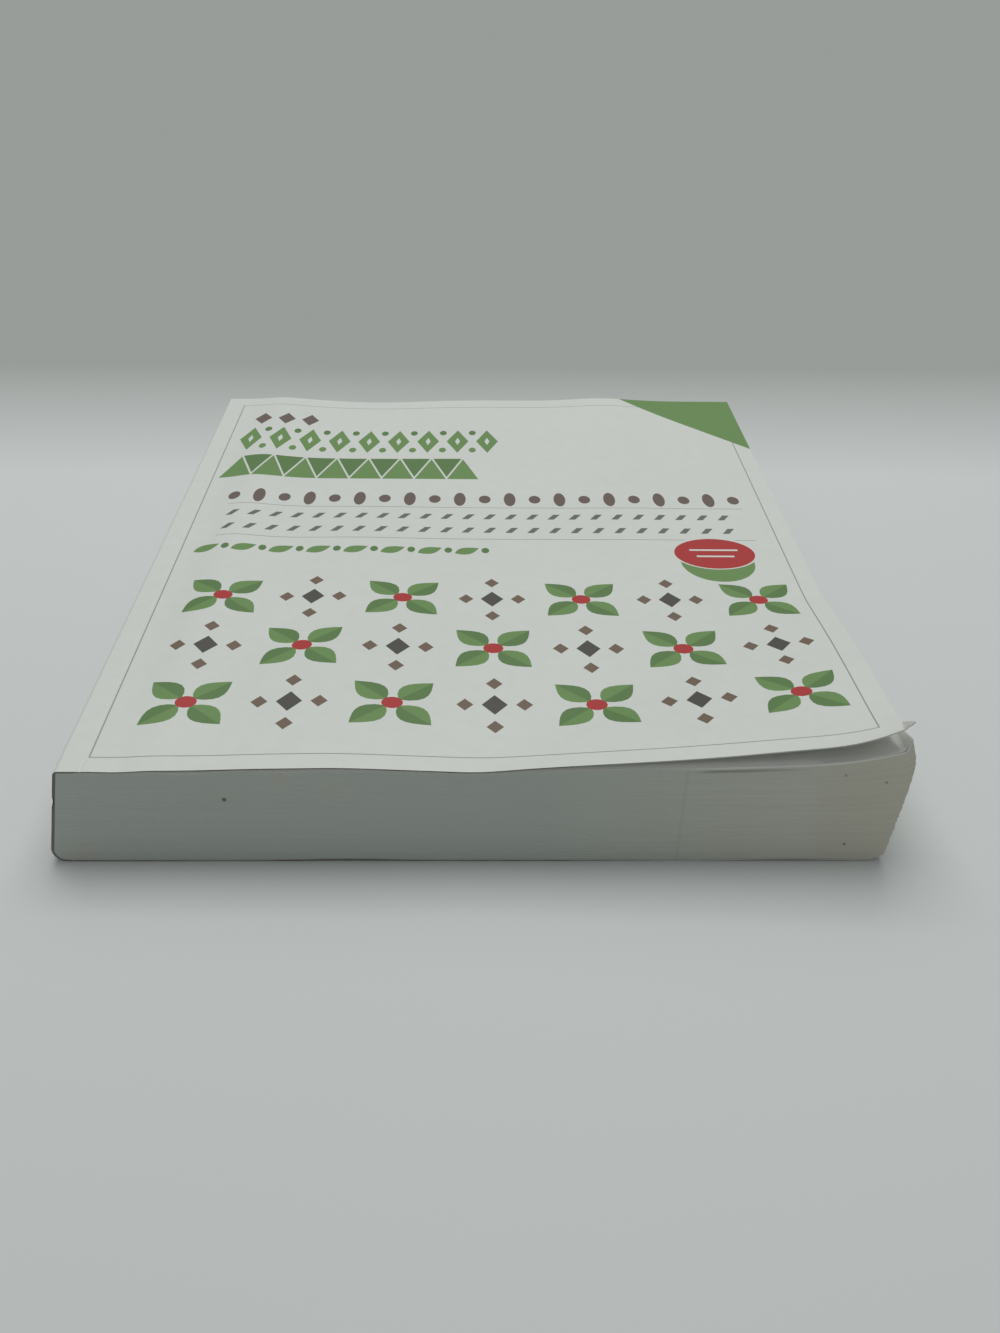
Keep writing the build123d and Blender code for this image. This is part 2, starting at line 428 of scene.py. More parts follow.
def cover_surface(u, y):
    """The outside of the cover, with its crushed tip."""
    from_fore_edge, from_tail = (board_width - u) / tip_legs[0], (y - tail) / tip_legs[1]
    beyond = np.clip(1 - from_fore_edge - from_tail, 0, 1)
    points = fold_sheet(u, y) + beyond[..., None] * tip_pull
    valley = valley_depth * np.sin(pi * np.clip(beyond / valley_share, 0, 1))
    pleats = pleat_height * beyond * np.sin(pleat_closeness * (from_tail - from_fore_edge))
    sag = edge_sag(board_start + u, y) * smooth_step(u / sag_starts_over)
    points[..., 2] += pleats - valley - sag
    return points


def surface_normals(surface, u, y, step=0.04):
    across = surface(u + step, y) - surface(u - step, y)
    up_page = surface(u, y + step) - surface(u, y - step)
    normals = np.cross(across, up_page)
    return normals / np.linalg.norm(normals, axis=-1, keepdims=True)


print("tip of the corner in mm:", np.round(cover_surface(np.array([board_width]), np.array([tail]))[0], 1))

# %% [markdown]
# ## The print
# The cover is white with a thin rule round it, rows of green, brown and grey, a red roundel, a green
# corner and a wide band of green, red and brown. What is drawn here is plain ornament, the kind that a
# printer sets from stock: lozenges, beads, dashes and a frieze of petals. Print could be a texture, but
# real outlines stay sharp at any distance, so each shape is cut into the mesh of the sheet. All
# outlines are on the flat sheet, in millimetres from the score and from the middle of its height.

# %% Outlines for the print
def polygon(*corners):
    return np.array(corners, float)


def box(left, bottom, right_side, top):
    return polygon((left, bottom), (right_side, bottom), (right_side, top), (left, top))


def lozenge(x, y, width, height):
    return polygon((x + width / 2, y), (x, y + height / 2), (x - width / 2, y), (x, y - height / 2))


def disc(x, y, width, height, count=32):
    turn = np.arange(count) * 2 * pi / count
    return np.stack((x + width / 2 * np.cos(turn), y + height / 2 * np.sin(turn)), axis=1)


def petal(x, y, length, width, angle, start=0.0, sides=(-1, 1)):
    """A pointed petal from its stalk to its tip. With 0 for a side, it is cut off along its rib."""
    t = np.linspace(0, 1, 8)
    forth, back = (side * width / 2 * np.sin(pi * t**0.85) for side in sides)
    run = start + length * np.concatenate((t, t[-2:0:-1]))
    off = np.concatenate((forth, back[-2:0:-1]))
    across, upwards = run * cos(angle) - off * sin(angle), run * sin(angle) + off * cos(angle)
    return np.stack((x + across, y + upwards), axis=1)


def refine(outline, longest):
    """The same outline with points added, so that it can follow a curved surface."""
    points = []
    for start, end in zip(outline, np.roll(outline, -1, axis=0)):
        pieces = max(1, int(np.ceil(np.linalg.norm(end - start) / longest)))
        points += [start + (end - start) * i / pieces for i in range(pieces)]
    return np.array(points)


print("a petal is an outline of", len(petal(0, 0, 9.0, 5.2, 0.5)), "points")

# %% Set the print
prints = []


def ink(colour, outline):
    prints.append((colour, refine(outline, grid_step)))


grid_step = 2.6
rule = 0.38
border = (0.4, tail + 6.2, board_width - 5.7, head - 8.6)


def set_rules():
    left, bottom, right_side, top = border
    ink("grey", box(left, bottom, right_side, bottom + rule))
    ink("grey", box(left, top - rule, right_side, top))
    ink("grey", box(left, bottom, left + rule, top))
    ink("grey", box(right_side - rule, bottom, right_side, top))
    for y in (24.3, -2.2):
        ink("grey", box(10.5, y, 191.5, y + rule))


def set_rows():
    for x in (11.0, 20.5, 30.0):
        ink("brown", lozenge(x, 113.5, 7.0, 13.0))
    for i in range(9):
        x = 9.0 + 11.6 * i
        ink("green", lozenge(x, 90.5, 8.6, 25.0))
        ink("white", lozenge(x, 90.5, 2.0, 8.0))
        if i < 8:
            ink("green", disc(x + 5.8, 81.0, 2.8, 5.2, 16))
            ink("dark_green", disc(x + 5.8, 100.0, 2.8, 5.2, 16))
    for i in range(8):
        x = 8.5 + 12.0 * i
        ink("green", polygon((x - 5.8, 51.0), (x + 5.8, 51.0), (x, 71.0)))
        if i < 7:
            ink("dark_green", polygon((x + 0.6, 71.6), (x + 6.0, 53.0), (x + 11.4, 71.6)))
    for i in range(21):
        ink("brown", disc(11.5 + 8.9 * i, 32.0, 4.2, 12.0 if i % 2 else 7.0, 24))
    for y in (16.5, 5.2):
        for i in range(24):
            x = 11.0 + 7.4 * i
            ink("slate", polygon((x, y - 2.0), (x + 2.3, y - 2.0), (x + 4.6, y + 2.2), (x + 2.3, y + 2.2)))
    for i in range(8):
        x = 5.0 + 12.2 * i
        ink("green", petal(x, -13.5, 9.0, 5.2, 0.5))
        ink("dark_green", disc(x + 10.0, -11.0, 2.6, 4.2, 14))


def set_roundel(x=176.0, y=-13.5):
    ink("green", disc(x, y - 6.0, 24.0, 28.0, 40))
    ink("white", disc(x, y + 1.4, 28.4, 25.0, 40))
    ink("red", disc(x, y + 1.0, 26.6, 23.0, 40))
    ink("white", box(x - 8.0, y + 3.0, x + 8.0, y + 4.2))
    ink("white", box(x - 6.2, y - 1.8, x + 6.2, y - 0.6))


def set_corner(along_head=46.5, along_fore_edge=56.0):
    corner = (board_width, head)
    ink("green", polygon((board_width - along_head, head), (board_width, head - along_fore_edge), corner))


def set_frieze(left=20.0, top=-46.0, pitch_x=27.4, pitch_y=31.0):
    for row in range(3):
        for column in range(7):
            x, y = left + pitch_x * column, top - pitch_y * row
            if (row + column) % 2:
                ink("dark", lozenge(x, y, 7.0, 10.0))
                for dx, dy in ((8.0, 0), (-8.0, 0), (0, 11.0), (0, -11.0)):
                    ink("soil", lozenge(x + dx, y + dy, 4.6, 6.0))
                continue
            for quarter in range(4):
                angle = pi / 4 + quarter * pi / 2
                ink("green", petal(x, y, 13.0, 8.4, angle, 2.2, (0, 1)))
                ink("dark_green", petal(x, y, 13.0, 8.4, angle, 2.2, (-1, 0)))
            ink("red", disc(x, y, 5.8, 5.8, 20))


for job in (set_rules, set_rows, set_roundel, set_corner, set_frieze):
    job()
print(len(prints), "printed shapes")

# %% [markdown]
# ## Finishes of the card
# Every ink lies under the same gloss film, so one recipe makes them all: a colour with the faintest
# mottling, a film that is smooth but not perfect, and a little unevenness in the light it throws
# back. The cut edge of the card is raw board. It is painted grey and brown, partly as real grime from
# handling and partly as painted shade of the thin gaps it lies along, except along the lifted corner,
# where it is light. The crushed tip has lost its film, and the card's inside never had one.

# %% Card and inks
def film_over(name, red, green, blue):
    finish = Finish(name, srgb(red, green, blue), 0.4)
    mottle = finish.noise(220.0, 3.0)
    dim = srgb(red * 0.99, green * 0.988, blue * 0.985)
    finish.wear("Base Color", finish.mix(finish.ramp(mottle, 0, 1, 0.35, 0.7), srgb(red, green, blue), dim))
    handled = finish.noise(28.0, 4.0)
    finish.wear("Roughness", finish.ramp(handled, 0.36, 0.44, 0.3, 0.7))
    scuffs = finish.noise(900.0, 2.0, finish.stretched(1.0, 0.12, 1.0))
    finish.bump(scuffs, 0.00002, 0.35)
    finish.shader.inputs["Coat Weight"].default_value = 0.12
    finish.shader.inputs["Coat Roughness"].default_value = 0.22
    return finish.material


ink_colours = {
    "white": (205, 209, 203),
    "grey": (140, 144, 140),
    "slate": (92, 100, 90),
    "green": (96, 134, 68),
    "dark_green": (78, 116, 54),
    "brown": (96, 80, 72),
    "soil": (104, 84, 66),
    "dark": (60, 58, 52),
    "red": (166, 14, 8),
}
inks = {name: film_over("card_" + name, *colour) for name, colour in ink_colours.items()}

raw_edge = Finish("card_edge", srgb(150, 146, 136), 0.85)
grime = raw_edge.noise(160.0, 4.0)
# Painted grey and brown: real grime from handling, and painted shade of the thin gaps that the card's edge
# lies along.
handled = raw_edge.mix(raw_edge.ramp(grime, 0, 1, 0.4, 0.65), srgb(130, 130, 121), srgb(98, 86, 74))
edge_place = raw_edge.add("ShaderNodeSeparateXYZ", {0: raw_edge.place}).outputs
lifted_part = raw_edge.ramp(edge_place[0], 0, 1, 0.02, 0.06)
raw_edge.wear("Base Color", raw_edge.mix(lifted_part, handled, srgb(196, 196, 190)))
raw_edge.bump(raw_edge.noise(2500.0), 0.00004)

crushed = Finish("crushed_card", srgb(178, 178, 173), 0.7)
creases = crushed.noise(1100.0, 3.0, crushed.stretched(1.0, 0.3, 1.0))
crushed.wear("Base Color", crushed.mix(creases, srgb(164, 163, 159), srgb(192, 192, 187)))
crushed.bump(creases, 0.0001)

card_inside = Finish("card_inside", srgb(228, 228, 222), 0.7)
fibres = card_inside.noise(700.0, 4.0)
card_inside.wear("Base Color", card_inside.mix(fibres, srgb(225, 225, 218), srgb(231, 231, 226)))
card_inside.bump(fibres, 0.00003)
print(len(inks), "inks, and finishes for the card's edge, its crushed tip and its inside")

# %% [markdown]
# ## Cutting the print into the sheet
# The flat sheet is covered with a grid of points, and the outlines of the print are added as lines
# that the triangles may not cross. A constrained triangulation gives a mesh in which each triangle
# lies wholly inside or outside every shape. The last shape that holds a triangle's middle is the ink
# on top. The folded surface is a formula, so its true normals are used, and the cuts don't show.

# %% Triangulate and ink
def triangulate(points, outlines):
    """Points and triangles of the flat sheet, with every outline kept as edges."""
    corners = [tuple(p) for p in points]
    edges = []
    for outline in outlines:
        first = len(corners)
        corners += [tuple(p) for p in outline]
        count = len(outline)
        edges += [(first + i, first + (i + 1) % count) for i in range(count)]
    found = delaunay_2d_cdt([Vector(c) for c in corners], edges, [], 0, 1e-4)
    flat = np.array([tuple(v) for v in found[0]])
    faces = np.array(found[2])
    a, b, c = (flat[faces[:, i]] for i in range(3))
    area = (b[:, 0] - a[:, 0]) * (c[:, 1] - a[:, 1]) - (b[:, 1] - a[:, 1]) * (c[:, 0] - a[:, 0])
    faces[area < 0] = faces[area < 0][:, ::-1]
    return flat, faces[np.abs(area) > 1e-7]


def inside(outline, places):
    """Which places lie inside an outline, by counting its crossings to the right of each."""
    odd = np.zeros(len(places), bool)
    for (ax, ay), (bx, by) in zip(outline, np.roll(outline, -1, axis=0)):
        if ay == by:
            continue
        spans = (ay > places[:, 1]) != (by > places[:, 1])
        odd ^= spans & (places[:, 0] < (bx - ax) * (places[:, 1] - ay) / (by - ay) + ax)
    return odd


def inked(flat, faces):
    """The name of the ink on each face."""
    middles = flat[faces].mean(axis=1)
    names = np.full(len(faces), "white", dtype=object)
    for colour, outline in prints:
        low, high = outline.min(0), outline.max(0)
        near = np.flatnonzero(((middles >= low) & (middles <= high)).all(axis=1))
        names[near[inside(outline, middles[near])]] = colour
    return names


def spaced(start, end, step):
    return np.linspace(start, end, int(round((end - start) / step)) + 1)


def lattice(columns, rows):
    """Every point where a column meets a row."""
    return np.stack(np.meshgrid(columns, rows, indexing="ij"), axis=-1).reshape(-1, 2)


wall_end, wall_start = -hinge_run - shoulder_run - wall_run, -hinge_run - shoulder_run
columns = np.concatenate((
    spaced(sheet_start, wall_end, 0.5)[:-1],
    spaced(wall_end, wall_start, 1.6)[:-1],
    spaced(wall_start, -hinge_run, 0.25)[:-1],
    spaced(-hinge_run, -1.4, 1.1),
    spaced(-1.0, 0.8, 0.3),
    spaced(2.0, board_width, grid_step),
))
grid = lattice(columns, spaced(tail, head, grid_step))
tip_steps = spaced(0, 6.0, 0.3)
tip_grid = lattice(board_width - tip_steps, tail + tip_steps)
sheet_points = np.unique(np.round(np.concatenate((grid, tip_grid)), 5), axis=0)
front_flat, front_faces = triangulate(sheet_points, [outline for _, outline in prints])
front_inks = inked(front_flat, front_faces)
print(len(front_faces), "faces on the printed side, inked", len(set(front_inks)), "ways")

# %% [markdown]
# A sheet with no thickness would look like tinfoil where its edge shows, so every card here is a
# closed shell: the outside, an inside set back by the card's thickness, and a narrow rim that joins
# them all the way round. The rim gets the finish of a cut edge.

# %% Close a sheet into a shell
def rim_edges(faces):
    """The outer edges of a set of triangles, each in its face's direction."""
    edges = np.concatenate([faces[:, (i, (i + 1) % 3)] for i in range(3)])
    reverse = set(map(tuple, edges[:, ::-1]))
    return [edge for edge in map(tuple, edges) if edge not in reverse]


def shell(name, surface, flat, faces, which, materials, rim_material, inside_material, thickness):
    """A closed sheet: its outside follows surface, and its inside lies a thickness below."""
    u, y = flat[:, 0], flat[:, 1]
    outside = surface(u, y)
    normals = surface_normals(surface, u, y)
    inner = outside - normals * thickness
    count = len(flat)
    rim = rim_edges(faces)
    rim_faces = [(b, a, a + count, b + count) for a, b in rim]
    points = np.concatenate((outside, inner))
    all_faces = [tuple(f) for f in faces] + [tuple(f[::-1] + count) for f in faces] + rim_faces
    which = list(which) + [inside_material] * len(faces) + [rim_material] * len(rim)
    corner_normals = [normals[i] for f in faces for i in f] + [-normals[i] for f in faces for i in f[::-1]]
    for b, a, _, b_in in rim_faces:
        side = np.cross(points[a] - points[b], points[b_in] - points[b])
        side = side / max(np.linalg.norm(side), 1e-9)
        corner_normals += [side] * 4
    return make_mesh(name, points, all_faces, materials, which, True, corner_normals)


print("the printed side has", len(rim_edges(front_faces)), "edges round its rim")

# %% The front cover and the spine
ink_order = list(inks)
card_materials = [inks[name] for name in ink_order] + [f.material for f in (raw_edge, card_inside, crushed)]
edge_slot, inside_slot, crushed_slot = (len(inks) + i for i in range(3))
front_which = np.array([ink_order.index(name) for name in front_inks])
tip_side, tip_end = np.moveaxis(front_flat[front_faces].mean(axis=1), 1, 0)
in_tip = (board_width - tip_side) / tip_legs[0] + (tip_end - tail) / tip_legs[1] < 0.95
front_which[in_tip] = crushed_slot
cover_front = shell(
    "cover_front", cover_surface, front_flat, front_faces, front_which, card_materials,
    edge_slot, inside_slot, card_thickness,
)
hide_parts("front_board", "cover_spine")

# %% [markdown]
# ## The back cover
# The back board lies flat on the table from the foot of the spine to the fore edge, where years of
# being slid about have turned it up with the lowest leaves. It is the same card, and nothing on it is
# known, so it is plain. Its near edge isn't quite pressed down: it stands off the table in two places,
# and its corner at the fore edge is raised a little more.

# %% Lay the back cover
foot_gaps, foot_gap_reach = ((-30.0, 15.0, 0.42), (82.0, 17.0, 0.5)), 7.0
raised_from, raised_over, raised_foot, raised_reach = 103.0, 5.0, 1.5, 14.0


def tail_ripple(x, y):
    """The small gaps between the near edge of the book and the table, and its raised corner."""
    raised = raised_foot * smooth_step((x - raised_from) / raised_over) * np.exp(-(y - tail) / raised_reach)
    return hollows(x, y, foot_gaps, foot_gap_reach) + raised


def worn(y):
    return np.clip(1 - (y - tail) / swell_length, 0, 1)


def turned_up_turn(y, radius):
    """How far the fore edge turns up before the trim cuts it."""
    turn = 0 * y
    for _ in range(12):
        z = turned_up_edge - radius * np.cos(turn)
        reach = fore_edge_x(z) + tail_swell * worn(y) - turned_up_start
        turn = np.arcsin(np.clip(reach / radius, 0, 0.95))
    return turn


flat_run = turned_up_start - foot_x


def back_surface(v, y):
    """The outside of the back cover. v goes from 0 at the fore edge to flat_run at the foot of the spine."""
    turn = turned_up_turn(y, turned_up_edge)
    edge_run = turned_up_edge * turn
    run = v / flat_run * (edge_run + flat_run)
    angle = np.clip(edge_run - run, 0, None) / turned_up_edge
    x = turned_up_start + turned_up_edge * np.sin(angle) - np.clip(run - edge_run, 0, None)
    back_score = spine_x(0.0, hinge_width) + 0.5 * score_gap
    z = turned_up_edge * (1 - np.cos(angle)) + tail_ripple(x, y)
    z = z + score_dip * bump(x, back_score, score_dip_half)
    return np.stack((x, y, z), axis=-1)


edge_columns_to, score_columns_from, score_columns_to = 4.5, 199.0, 206.87
back_columns = np.concatenate((
    spaced(0, edge_columns_to, 0.3)[:-1],
    spaced(edge_columns_to, score_columns_from, 4.0)[:-1],
    spaced(score_columns_from, score_columns_to, 0.28)[:-1],
    (flat_run,),
))
back_rows = np.concatenate((spaced(0, 12, 1.2)[:-1], spaced(12, leaf_height, 4.0))) + tail
back_flat, back_faces = triangulate(lattice(back_columns, back_rows), [])
cover_back = shell(
    "cover_back", back_surface, back_flat, back_faces, [0] * len(back_faces),
    [inks["white"], raw_edge.material, card_inside.material], 1, 2, card_thickness,
)
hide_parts("back_board")

# %% [markdown]
# ## The leaves
# Two hundred and fifty leaves trimmed together look like one block with very fine lines along it.
# Those lines could come from a bump alone, but near the worn corner the leaves are fanned and
# swollen, and that has to be shape. The block is built as a stack of rings, one for about every two
# leaves. Low rings are flat and high ones follow the topmost leaf. Each is moved in or out by a few
# hundredths of a millimetre, as trimmed leaves are, and more where the fore edge is worn.

# %% The two long sides of the leaves
top_drawn_in, top_drawn_from, top_drawn_over = 0.5, 29.0, 5.0


def back_x(z):
    """The spine side of the leaves, rounded at its foot like the cover round it."""
    radius = worn_spine_foot - spine_depth
    centre_x, centre_z = foot_x, leaf_bottom + radius
    low = np.clip(centre_z - z, 0, radius)
    straight = spine_x(z, spine_depth)
    return np.where(z < centre_z - radius * sin(wall_tilt), centre_x - np.sqrt(radius**2 - low**2), straight)


def front_x(z, y):
    """The fore edge of the leaves: leaning, swollen at the tail, and turned up at its foot."""
    swell = tail_swell - top_drawn_in * smooth_step((z - top_drawn_from) / top_drawn_over)
    trimmed = fore_edge_x(z) + worn(y) * swell
    radius = turned_up_edge - leaf_bottom
    low = np.clip((radius + leaf_bottom - z) / radius, 0, 1)
    turned = turned_up_start + radius * np.sqrt(1 - low**2)
    return np.where(z < radius + leaf_bottom, np.minimum(trimmed, turned), trimmed)


print("leaves are", round(float(front_x(leaf_top, head) - back_x(leaf_top)), 1), "mm wide at the head")

# %% [markdown]
# All rings have the same points, which keeps the walls between them simple. A point is given by its
# share of the way from the spine to the fore edge and from the tail to the head. The points are close
# together near the corners, above all near the turned-up one.

# %% Points round a ring
across = np.concatenate((
    spaced(0, 0.02, 0.005)[:-1],
    spaced(0.02, 0.93, 0.0102)[:-1],
    spaced(0.93, 1, 0.0025),
))
up_fore_edge = np.concatenate((
    spaced(0, 0.07, 0.0025)[:-1],
    spaced(0.07, 0.4, 0.0095)[:-1],
    spaced(0.4, 1, 0.0166),
))
up_spine = spaced(0, 1, 0.1)
tail_side = [(s, 0.0) for s in across]
fore_side = [(1.0, t) for t in up_fore_edge[1:]]
head_side = [(s, 1.0) for s in across[::-1][1:]]
spine_side = [(0.0, t) for t in up_spine[::-1][1:-1]]
around = np.array(tail_side + fore_side + head_side + spine_side)
on_tail, on_head, on_fore = around[:, 1] == 0, around[:, 1] == 1, around[:, 0] == 1
print("rings of", len(around), "points")

# %% [markdown]
# The fore edge of the uppermost leaves is turned up near the corner, almost upright, beyond a crease
# that slants across it. The points beyond the crease could be turned as a stiff flap, but paper goes
# round a bend of some radius. So they are laid round an arc first, and on straight after it, and each
# deeper leaf goes round the outside of the one above it.

# %% Turn up the corner
bend_radius, most_turn = 1.3, 1.3
turned_depth, turn_fades_over = 3.0, 9.0


def turn_up(points, radius, most, crease=(crease_x, corner_legs)):
    """Turns what lies beyond a slanting crease up, round a bend of this radius, by most radians at most."""
    start, legs = crease
    x, y, z = np.moveaxis(points, -1, 0)
    norm = hypot(1 / legs[0], 1 / legs[1])
    beyond = np.clip((x - start) / legs[0] - (y - tail) / legs[1], 0, None) / norm
    turn = np.minimum(beyond / radius, most)
    flat = beyond - turn * radius
    shift = radius * np.sin(turn) + flat * np.cos(turn) - beyond
    rise = radius * (1 - np.cos(turn)) + flat * np.sin(turn)
    return np.stack((x + shift / legs[0] / norm, y - shift / legs[1] / norm, z + rise), axis=-1)


def turn_up_leaves(points, level):
    """The turned-up corner at one level of the block: its bend is wider and weaker, the deeper the leaf."""
    depth = (1 - level) * (leaf_top - leaf_bottom)
    weaker = 1 - smooth_step((depth - turned_depth) / turn_fades_over)
    return turn_up(points, bend_radius + depth, most_turn * weaker)


corner_turn = round(most_turn * 180 / pi)
print("the topmost leaf turns by", corner_turn, "degrees at most")

# %% Rings of the block
ring_count = 112
dice = np.random.default_rng(7)
lift_fades, ripple_fades = 2.2, 4
tight, loosened, fray = 0.006, 0.014, 0.09
crack_level, crack_half, crack_depth = 0.962, 0.011, 1.1
crack_from, crack_to = 55.0, 91.0


def ring(level):
    """One ring of the block at a level from 0, its lowest leaf, to 1, its topmost, not yet turned up."""
    s, t = around[:, 0], around[:, 1]
    y = tail + leaf_height * t
    flat_z = leaf_bottom + (leaf_top - leaf_bottom) * level
    z = np.full(len(s), flat_z)
    for _ in range(3):
        x = back_x(np.full(len(s), flat_z)) * (1 - s) + front_x(z, y) * s
        z = flat_z + level**lift_fades * top_leaf_rise(x, y) + (1 - level) ** ripple_fades * tail_ripple(x, y)
    phase = dice.uniform(0, 2 * pi, 3)
    loose = dice.normal(0, 1) * (tight + loosened * smooth_step((x + 20) / 110))
    slow = 0.025 * np.sin(x / 37 + phase[0]) + 0.02 * np.sin(y / 29 + phase[1])
    frayed = fray * worn(y) * dice.normal(0, 1)
    z = z + 0.05 * smooth_step((x - 60) / 45) * np.sin(x / 5 + phase[2]) * (level * (1 - level) * 4)
    y = y + np.where(on_head, 1, 0) * (loose + slow) - np.where(on_tail, 1, 0) * (loose + slow)
    x = x + np.where(on_fore, 1, 0) * (loose + slow + frayed)
    crack = smooth_step((x - crack_from) / 8) * smooth_step((crack_to - x) / 25)
    near_crack = np.clip(1 - abs(level - crack_level) / crack_half, 0, 1)
    y = y + np.where(on_tail, 1, 0) * crack_depth * crack * near_crack
    return np.stack((x, y, z), axis=-1)


levels = np.linspace(0, 1, ring_count)
rings = [ring(level) for level in levels]
size = len(around)
leaf_points = np.concatenate([turn_up_leaves(points, level) for points, level in zip(rings, levels)])
wall_faces = [
    (k * size + i, k * size + (i + 1) % size, (k + 1) * size + (i + 1) % size, (k + 1) * size + i)
    for k in range(ring_count - 1)
    for i in range(size)
]
print(ring_count, "rings, joined by", len(wall_faces), "faces")


# %% Close the block with its first and last leaf
leaf_step, corner_step = 3.4, 0.6
corner_steps_x, corner_steps_y = 23.4, 36.0


def close_with_leaf(loop, height_at):
    """Points and triangles that fill a ring, with the points inside it set to a height."""
    left, right_side = loop[:, 0].min(), loop[:, 0].max()
    coarse = lattice(spaced(left, right_side, leaf_step)[1:-1], spaced(tail, head, leaf_step)[1:-1])
    inwards, upwards = (spaced(corner_step, end, corner_step) for end in (corner_steps_x, corner_steps_y))
    fine = lattice(right_side - inwards, tail + upwards)
    inner = np.unique(np.round(np.concatenate((coarse, fine)), 4), axis=0)
    inner = inner[inside(loop[:, :2] * 0.996, inner)]
    corners = [Vector(p[:2]) for p in loop] + [Vector(p) for p in inner]
    edges = [(i, (i + 1) % len(loop)) for i in range(len(loop))]
    flat, _, faces, *_ = delaunay_2d_cdt(corners, edges, [], 1, 1e-5)
    assert len(flat) == len(corners)
    return np.column_stack((inner, height_at(inner[:, 0], inner[:, 1]))), np.array(faces)


top_points, top_faces = close_with_leaf(rings[-1], lambda x, y: leaf_top + top_leaf_rise(x, y))
top_points = turn_up_leaves(top_points, 1.0)
low_points, low_faces = close_with_leaf(rings[0], lambda x, y: leaf_bottom + tail_ripple(x, y))
base = len(leaf_points)
top_ids = np.concatenate((np.arange(base - size, base), base + np.arange(len(top_points))))
low_ids = np.concatenate((np.arange(size), base + len(top_points) + np.arange(len(low_points))))
leaf_points = np.concatenate((leaf_points, top_points, low_points))
lids = [tuple(top_ids[f]) for f in top_faces] + [tuple(low_ids[f][::-1]) for f in low_faces]
print(len(top_faces), "faces on the topmost leaf and", len(low_faces), "on the lowest")

# %% [markdown]
# The edges of the leaves are uncoated paper cut by a blade: off-white, with a darker line of painted shade
# here and there where two leaves part, and a painted highlight on the first few leaves towards the fore
# edge, where their edges catch the light. Each point of the stack carries the number of its leaf, and the
# finish reads it, so that the lines bend with the leaves. Hands and tables have left beige smears towards
# the fore edge and a few small specks, which are placed where the real ones are: each has a middle, a
# radius, a colour and a strength.

# %% Paper
specks = (
    ((-60.5, tail, 19.3), 0.75, srgb(112, 84, 56), 0.85),
    ((94.3, tail, 26.7), 0.5, srgb(96, 84, 70), 0.45),
    ((104.8, tail, 24.6), 0.5, srgb(96, 84, 70), 0.55),
    ((96.8, tail, 5.4), 0.55, srgb(110, 92, 60), 0.7),
    ((-46.5, tail, 26.2), 3.2, srgb(196, 176, 152), 0.22),
    ((-33.0, tail, 22.0), 4.6, srgb(196, 180, 158), 0.16),
    ((-98.0, tail, 2.0), 5.0, srgb(196, 184, 162), 0.22),
)


def paper_edge():
    finish = Finish("leaf_edges", srgb(188, 190, 180), 0.85)
    leaf = finish.add("ShaderNodeAttribute", attribute_name="leaf").outputs["Fac"]
    place = finish.add("ShaderNodeSeparateXYZ", {0: finish.place}).outputs
    along_edge = finish.math("ADD", place[0], place[1])
    streak_place = finish.add("ShaderNodeCombineXYZ", {0: finish.math("MULTIPLY", along_edge, 22.0), 1: leaf})
    streaks = finish.noise(0.9, 3.0, streak_place.outputs[0], 0.65)
    to_fore_edge = finish.ramp(place[0], 0.0, 1.0, 0.02, 0.105)
    colour = finish.mix(finish.ramp(streaks, 0, 1, 0.3, 0.72), srgb(186, 193, 185), srgb(180, 186, 178))
    yellowed = finish.mix(finish.ramp(streaks, 0, 1, 0.35, 0.7), srgb(208, 209, 196), srgb(194, 194, 180))
    colour = finish.mix(to_fore_edge, colour, yellowed)
    by_leaf = {"W": leaf, "Scale": 1.7, "Detail": 2.0}
    per_leaf = finish.add("ShaderNodeTexNoise", by_leaf, noise_dimensions="1D").outputs["Fac"]
    # Painted shade: a darker line where two leaves part, stronger towards the fore edge.
    parting_shade = finish.ramp(per_leaf, 0.0, 1.0, 0.56, 0.78)
    parting_shade = finish.math("MULTIPLY", parting_shade, finish.ramp(to_fore_edge, 0.15, 0.4))
    colour = finish.mix(parting_shade, colour, srgb(150, 147, 136))
    smear = finish.noise(1.0, 3.0, finish.stretched(55.0, 30.0, 16.0))
    beige = finish.math("MULTIPLY", finish.ramp(smear, 0.05, 0.4, 0.42, 0.75), to_fore_edge)
    colour = finish.mix(beige, colour, srgb(190, 178, 156))
    # Painted highlight: the topmost leaves' edges are lighter towards the fore edge, where they catch the
    # light.
    first_leaves_highlight = finish.ramp(leaf, 0.0, 0.75, 0.983 * leaf_count, 0.991 * leaf_count)
    first_leaves_highlight = finish.math("MULTIPLY", first_leaves_highlight, finish.ramp(place[0], 0, 1, 0.048, 0.062))
    colour = finish.mix(first_leaves_highlight, colour, srgb(226, 228, 222))
    slanted = finish.math("SUBTRACT", place[0], finish.math("MULTIPLY", place[2], 0.03))
    from_scratch = finish.math("ABSOLUTE", finish.math("SUBTRACT", slanted, 0.0539))
    scratch = finish.ramp(from_scratch, 0.16, 0.0, 0.0001, 0.0007)
    near_tail = finish.ramp(place[1], 1.0, 0.0, -0.139, -0.137)
    colour = finish.mix(finish.math("MULTIPLY", scratch, near_tail), colour, srgb(176, 156, 140))
    for middle, radius, paint, strength in specks:
        colour = finish.spot(colour, paint, middle, radius, strength)
    finish.wear("Base Color", colour)
    finish.bump(finish.math("ADD", per_leaf, streaks), 0.00006, 0.5)
    return finish.material


leaf_face = Finish("leaf_face", srgb(235, 237, 230), 0.8)
formation = leaf_face.noise(420.0, 4.0)
leaf_face.wear("Base Color", leaf_face.mix(formation, srgb(232, 234, 227), srgb(238, 240, 234)))
leaf_face.bump(formation, 0.00002)
leaf_edges = paper_edge()
print("edges of the leaves have", len(specks), "specks and stains")

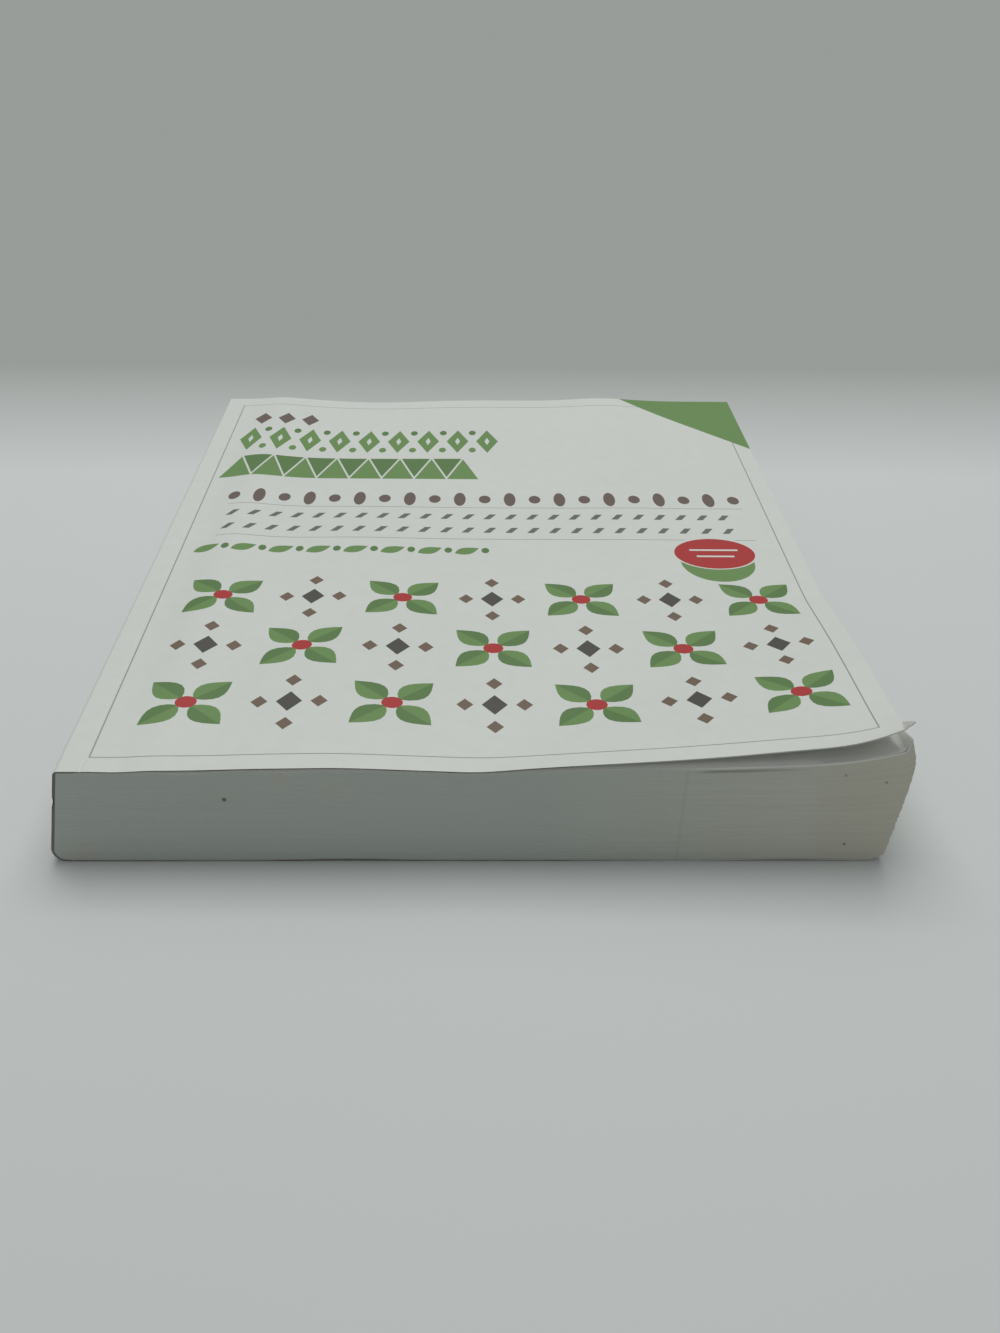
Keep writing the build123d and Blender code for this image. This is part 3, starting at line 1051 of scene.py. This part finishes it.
# %% Build the block
smooth = [False] * len(wall_faces) + [True] * len(lids)
which = [0] * len(wall_faces) + [1] * len(lids)
leaves = make_mesh("leaves", leaf_points, wall_faces + lids, [leaf_edges, leaf_face.material], which, smooth)
leaf_number = np.concatenate((
    np.repeat(levels * leaf_count, size),
    np.full(len(top_points), float(leaf_count)),
    np.zeros(len(low_points)),
))
leaves.data.attributes.new("leaf", "FLOAT", "POINT").data.foreach_set("value", leaf_number.astype(np.float32))
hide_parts("page_block")
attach(leaves, "book_block")

# %% [markdown]
# ## Two loose leaves
# At the turned-up corner the first two leaves have come a little away from the rest. Only their corners
# stand free, so only the corners are made, as two thin closed sheets that turn up by the same function
# as the block. Each stands a little higher than the block near the corner and meets it further in.

# %% Turn up the loose leaves
leaf_clearance = 0.03
corner_height, corner_drawn_in = 6.0, 1.0


def loose_leaf(name, radius, most, reach, lifted):
    """The corner of one leaf that has come away from the block."""
    corner_x = fore_edge_x(leaf_top + corner_height) + tail_swell - corner_drawn_in

    def surface(a, b):
        x, y = corner_x + a, tail + b
        apart = np.clip(1 + a / reach[0] - b / reach[1], 0, 1)
        z = leaf_top + top_leaf_rise(x, y) + leaf_clearance + lifted * smooth_step(1.6 * apart)
        return turn_up(np.stack((x, y, z), axis=-1), radius, most, (crease_x - 0.5, corner_legs))

    depth, fan = spaced(0.02, 1.0, 0.0125), spaced(0.0, 1.0, 0.05)
    flat = np.array([(-reach[0] * d * f, reach[1] * d * (1 - f)) for d in depth for f in fan])
    count = len(fan)
    faces = []
    for i in range(len(depth) - 1):
        for j in range(count - 1):
            low = i * count + j
            faces += [(low + count, low + 1, low), (low + count, low + count + 1, low + 1)]
    faces = np.array(faces)
    materials = [leaf_face.material, leaf_edges]
    piece = shell(name, surface, flat, faces, [0] * len(faces), materials, 1, 0, leaf_thickness)
    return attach(piece, "book_block")


loose_leaf("loose_leaf_1", 1.5, 1.1, (17.0, 22.0), 0.3)
loose_leaf("loose_leaf_2", 1.4, 1.2, (14.0, 20.0), 0.12)

# %% [markdown]
# ## The binding glue
# Hot-melt glue shows only as a thin line at both ends of the spine. Its solid already has the right
# shape, so it stays and gets a finish of its own: waxy, slightly clouded and dark grey, partly greyed by
# dust and partly painted shade of the narrow gap it shows in.

# %% Finish the glue
# Its dark grey is partly dust and partly painted shade of the narrow gap it shows in.
glue = Finish("binding_glue", srgb(112, 110, 100), 0.45)
cloud = glue.noise(300.0, 3.0)
glue.wear("Base Color", glue.mix(cloud, srgb(102, 100, 90), srgb(124, 120, 108)))
glue.wear("Roughness", glue.ramp(cloud, 0.38, 0.6))
nodes["binding_glue"].data.materials.clear()
nodes["binding_glue"].data.materials.append(glue.material)
print("finish of the glue:", glue.material.name)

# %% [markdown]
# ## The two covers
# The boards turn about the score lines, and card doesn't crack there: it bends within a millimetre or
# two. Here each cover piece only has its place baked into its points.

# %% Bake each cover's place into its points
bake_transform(cover_front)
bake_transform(cover_back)
